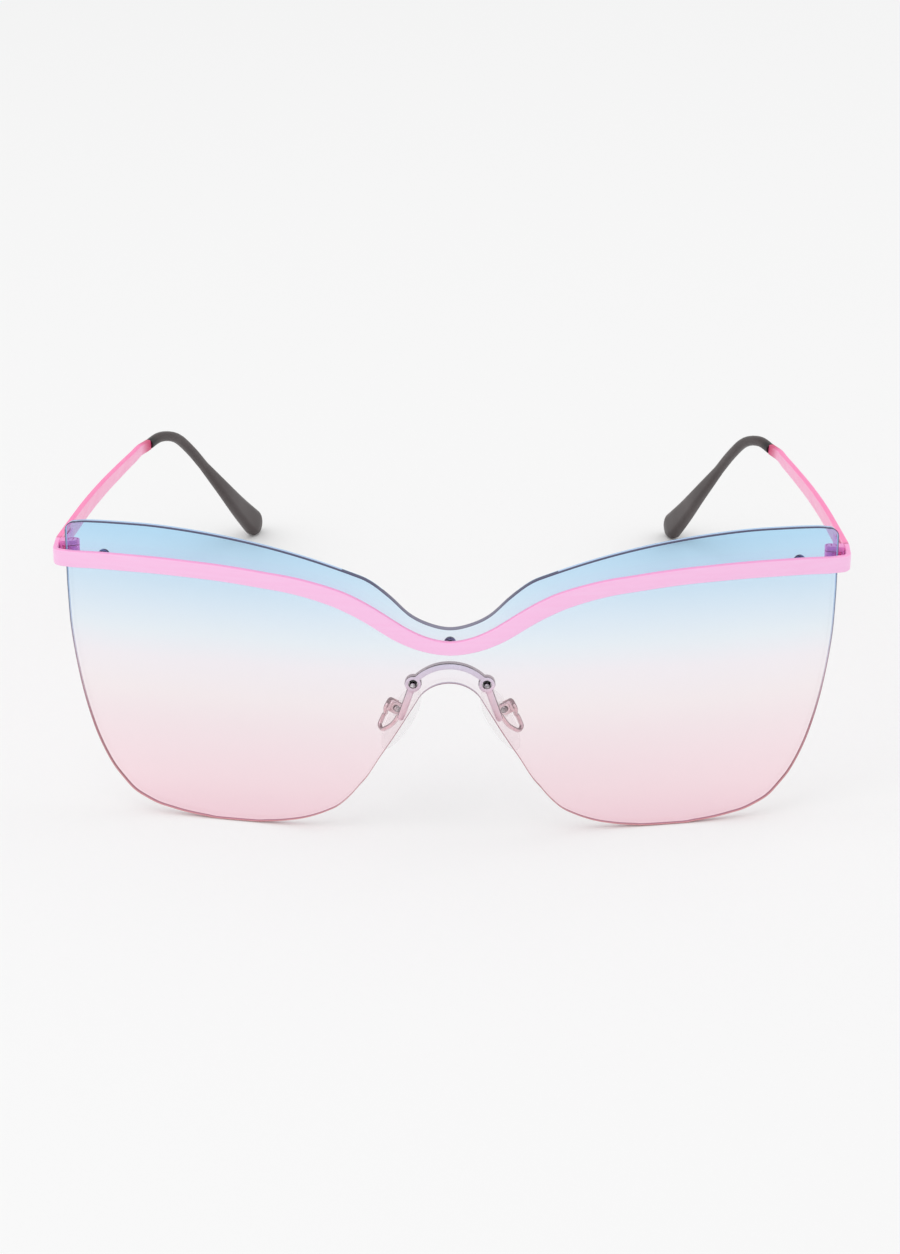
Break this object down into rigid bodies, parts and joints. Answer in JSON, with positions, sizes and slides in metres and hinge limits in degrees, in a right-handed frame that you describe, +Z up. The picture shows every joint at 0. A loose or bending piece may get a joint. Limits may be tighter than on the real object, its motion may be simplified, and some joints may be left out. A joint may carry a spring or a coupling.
{
  "type": "rimless shield sunglasses",
  "caption": "Rimless sunglasses with a curved shield lens, a metal brow bar, swivelling nose pads and folding temples with soft tips.",
  "frame": {"origin": "bottom centre of the whole object's box, with the glasses standing open on the lens and the two tips", "axes": "+X to the viewer's right along the front, the front faces -Y, the temples run back along +Y, +Z up"},
  "size_m": [0.15, 0.1382, 0.0592],
  "materials": {
    "lens": "clear, tinted from blue at the top to rose at the bottom",
    "brow_bar": "pink metallic satin",
    "fixings": "polished",
    "washers": "clear",
    "nuts": "polished, dark",
    "bridge": "satin",
    "pins": "polished",
    "sleeves": "clear",
    "pad_arms": "satin",
    "pad_plates": "clear",
    "nose_pads": "clear soft",
    "hinges": "pink metallic satin",
    "hinge_screws": "pink metallic satin",
    "temples": "pink metallic satin",
    "tips": "satin"
  },
  "bodies": {
    "front": {"shield_lens": "lens", "brow_bar": "brow_bar", "brow_stud_left": "fixings", "brow_stud_center": "fixings", "brow_stud_right": "fixings", "brow_washer_left": "washers", "brow_washer_center": "washers", "brow_washer_right": "washers", "brow_nut_left": "nuts", "brow_nut_center": "nuts", "brow_nut_right": "nuts", "nose_bridge": "bridge", "bridge_pin_left": "pins", "bridge_pin_right": "pins", "bridge_sleeve_left": "sleeves", "bridge_sleeve_right": "sleeves", "pad_arm_left": "pad_arms", "pad_arm_right": "pad_arms", "pad_screw_left": "fixings", "pad_screw_right": "fixings", "hinge_front_left": "hinges", "hinge_front_right": "hinges", "hinge_screw_left": "hinge_screws", "hinge_screw_right": "hinge_screws"},
    "left_temple": {"temple_left": "temples", "temple_tip_left": "tips", "hinge_temple_left": "hinges"},
    "right_temple": {"temple_right": "temples", "temple_tip_right": "tips", "hinge_temple_right": "hinges"},
    "left_pad": {"nose_pad_left": "nose_pads", "pad_plate_left": "pad_plates"},
    "right_pad": {"nose_pad_right": "nose_pads", "pad_plate_right": "pad_plates"}
  },
  "joints": [
    {"name": "left_temple_hinge", "type": "hinge", "parent": "front", "child": "left_temple", "pos_m": [-0.0715, -0.05299, 0.05127], "axis": [0, -0.1569, -0.9876], "range_deg": [0, 78]},
    {"name": "right_temple_hinge", "type": "hinge", "parent": "front", "child": "right_temple", "pos_m": [0.0715, -0.05299, 0.05127], "axis": [0, 0.1569, 0.9876], "range_deg": [0, 74]},
    {"name": "left_pad_swivel", "type": "hinge", "parent": "front", "child": "left_pad", "pos_m": [-0.01075, -0.06042, 0.02203], "axis": [0.4226, -0.9051, 0.0474], "range_deg": [-8, 8]},
    {"name": "right_pad_swivel", "type": "hinge", "parent": "front", "child": "right_pad", "pos_m": [0.01075, -0.06042, 0.02203], "axis": [0.4226, 0.9051, -0.0474], "range_deg": [-8, 8]}
  ]
}
